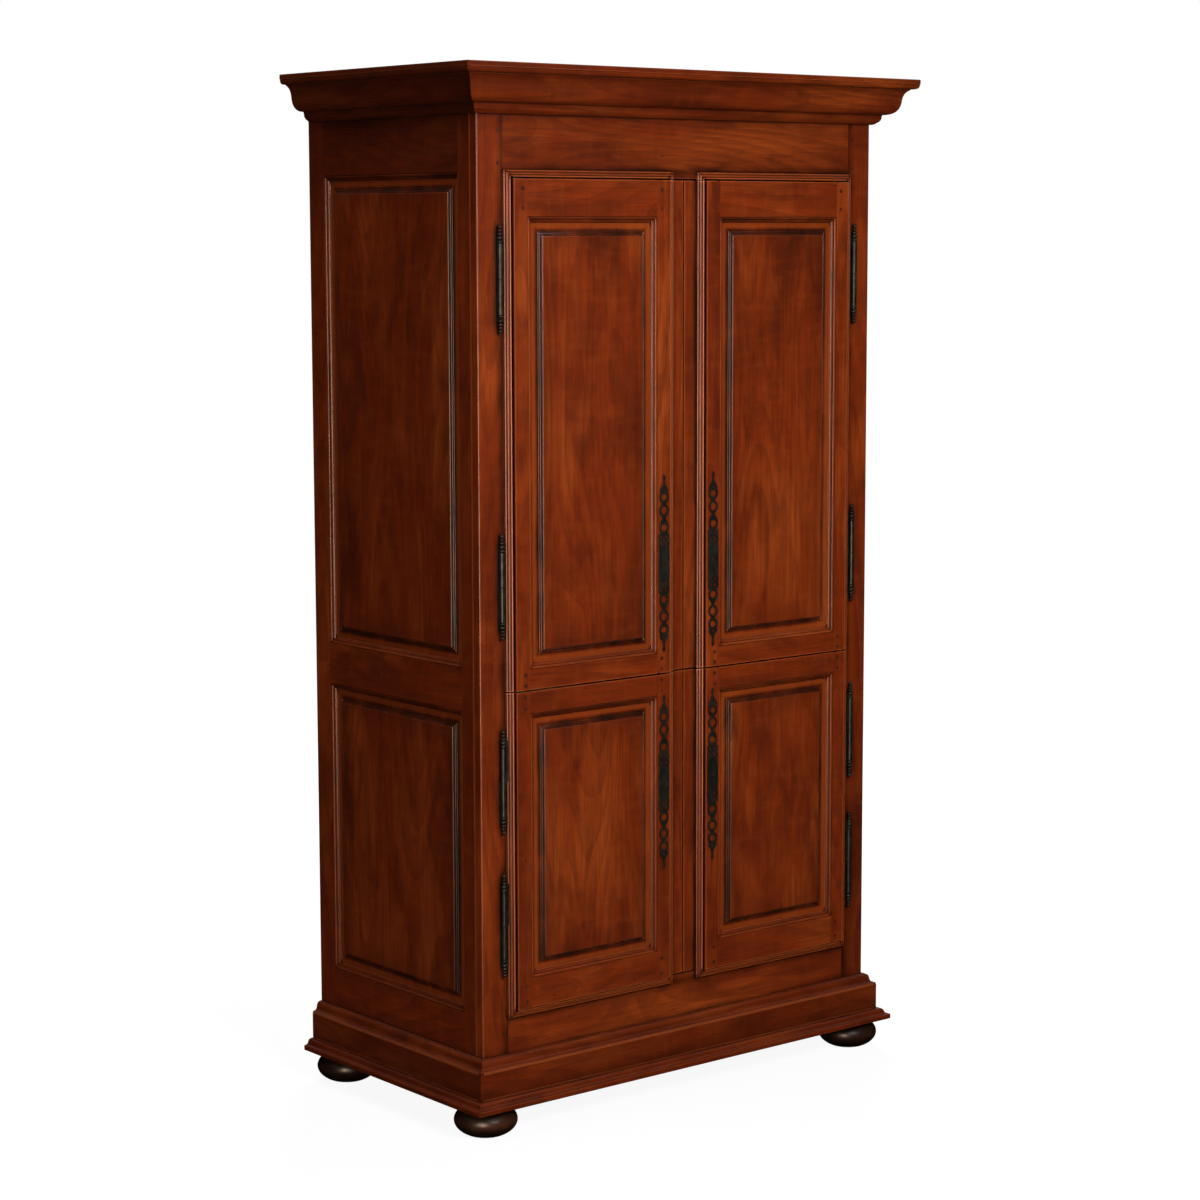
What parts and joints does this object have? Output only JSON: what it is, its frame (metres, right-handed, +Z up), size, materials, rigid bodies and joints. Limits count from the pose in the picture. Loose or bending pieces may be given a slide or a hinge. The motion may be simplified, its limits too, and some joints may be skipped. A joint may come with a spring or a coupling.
{
  "type": "tv armoire",
  "caption": "Tall wooden armoire for a television: panelled doors, the upper ones sliding back into pockets, moulded cornice and plinth, bun feet and pierced iron escutcheons.",
  "frame": {"origin": "centre of the footprint of the whole cabinet, on the floor", "axes": "+Z up, +Y from the doors to the back, +X to the right along the front"},
  "size_m": [1.214, 0.66, 2.134],
  "materials": {
    "front_wood": "satin reddish-brown stain and varnish with dark glaze in the mouldings",
    "side_wood": "satin reddish-brown stain and varnish",
    "moulding_wood": "satin reddish-brown stain with dark glaze in the quirks",
    "foot_wood": "glossy very dark brown",
    "inner_wood": "plain satin stained boards",
    "back_board": "unvarnished stained ply",
    "black_iron": "blackened iron",
    "grey_iron": "dark waxed iron"
  },
  "bodies": {
    "carcase": {"side_frame_left": "side_wood", "side_frame_right": "side_wood", "side_panel_left_upper": "side_wood", "side_panel_left_lower": "side_wood", "side_panel_right_upper": "side_wood", "side_panel_right_lower": "side_wood", "face_stile_left": "front_wood", "face_stile_right": "front_wood", "face_rail_top": "front_wood", "face_rail_bottom": "front_wood", "cornice_front": "moulding_wood", "cornice_left": "moulding_wood", "cornice_right": "moulding_wood", "plinth_front": "moulding_wood", "plinth_left": "moulding_wood", "plinth_right": "moulding_wood", "foot_front_left": "foot_wood", "foot_front_right": "foot_wood", "foot_rear_left": "foot_wood", "foot_rear_right": "foot_wood", "bottom_board": "inner_wood", "top_board": "inner_wood", "tv_deck": "inner_wood", "lower_shelf": "inner_wood", "shelf_cleat_left": "inner_wood", "shelf_cleat_right": "inner_wood", "back_panel_upper": "back_board", "back_panel_lower": "back_board", "surround_moulding_left": "moulding_wood", "surround_moulding_right": "moulding_wood", "pocket_runner_left_lower": "inner_wood", "pocket_runner_left_upper": "inner_wood", "pocket_runner_right_lower": "inner_wood", "pocket_runner_right_upper": "inner_wood", "upper_hinge_left_1": "grey_iron", "upper_hinge_left_2": "grey_iron", "upper_hinge_right_1": "grey_iron", "upper_hinge_right_2": "grey_iron", "lower_hinge_left_1_frame_knuckle": "grey_iron", "lower_hinge_left_2_frame_knuckle": "grey_iron", "lower_hinge_right_1_frame_knuckle": "grey_iron", "lower_hinge_right_2_frame_knuckle": "grey_iron"},
    "upper_left_carriage": {"pocket_carriage_left": "grey_iron"},
    "upper_right_carriage": {"pocket_carriage_right": "grey_iron"},
    "upper_left_leaf": {"upper_door_left_frame": "front_wood", "upper_door_left_panel": "front_wood", "upper_escutcheon_left": "black_iron"},
    "upper_right_leaf": {"upper_door_right_frame": "front_wood", "upper_door_right_panel": "front_wood", "upper_escutcheon_right": "black_iron"},
    "lower_left_leaf": {"lower_door_left_frame": "front_wood", "lower_door_left_panel": "front_wood", "lower_escutcheon_left": "black_iron", "lower_hinge_left_1_door_knuckle": "grey_iron", "lower_hinge_left_2_door_knuckle": "grey_iron"},
    "lower_right_leaf": {"lower_door_right_frame": "front_wood", "lower_door_right_panel": "front_wood", "lower_escutcheon_right": "black_iron", "lower_hinge_right_1_door_knuckle": "grey_iron", "lower_hinge_right_2_door_knuckle": "grey_iron"}
  },
  "joints": [
    {"name": "upper_left_slide", "type": "slide", "parent": "carcase", "child": "upper_left_carriage", "axis": [0, 1, 0], "range_m": [0, 0.43]},
    {"name": "upper_left_hinge", "type": "hinge", "parent": "upper_left_carriage", "child": "upper_left_leaf", "pos_m": [-0.446, -0.264, 1.4], "axis": [0, 0, -1], "range_deg": [0, 90]},
    {"name": "upper_right_slide", "type": "slide", "parent": "carcase", "child": "upper_right_carriage", "axis": [0, 1, 0], "range_m": [0, 0.43]},
    {"name": "upper_right_hinge", "type": "hinge", "parent": "upper_right_carriage", "child": "upper_right_leaf", "pos_m": [0.446, -0.264, 1.4], "axis": [0, 0, 1], "range_deg": [0, 90]},
    {"name": "lower_left_hinge", "type": "hinge", "parent": "carcase", "child": "lower_left_leaf", "pos_m": [-0.48, -0.261, 0.575], "axis": [0, 0, -1], "range_deg": [0, 115]},
    {"name": "lower_right_hinge", "type": "hinge", "parent": "carcase", "child": "lower_right_leaf", "pos_m": [0.48, -0.261, 0.575], "axis": [0, 0, 1], "range_deg": [0, 115]}
  ]
}
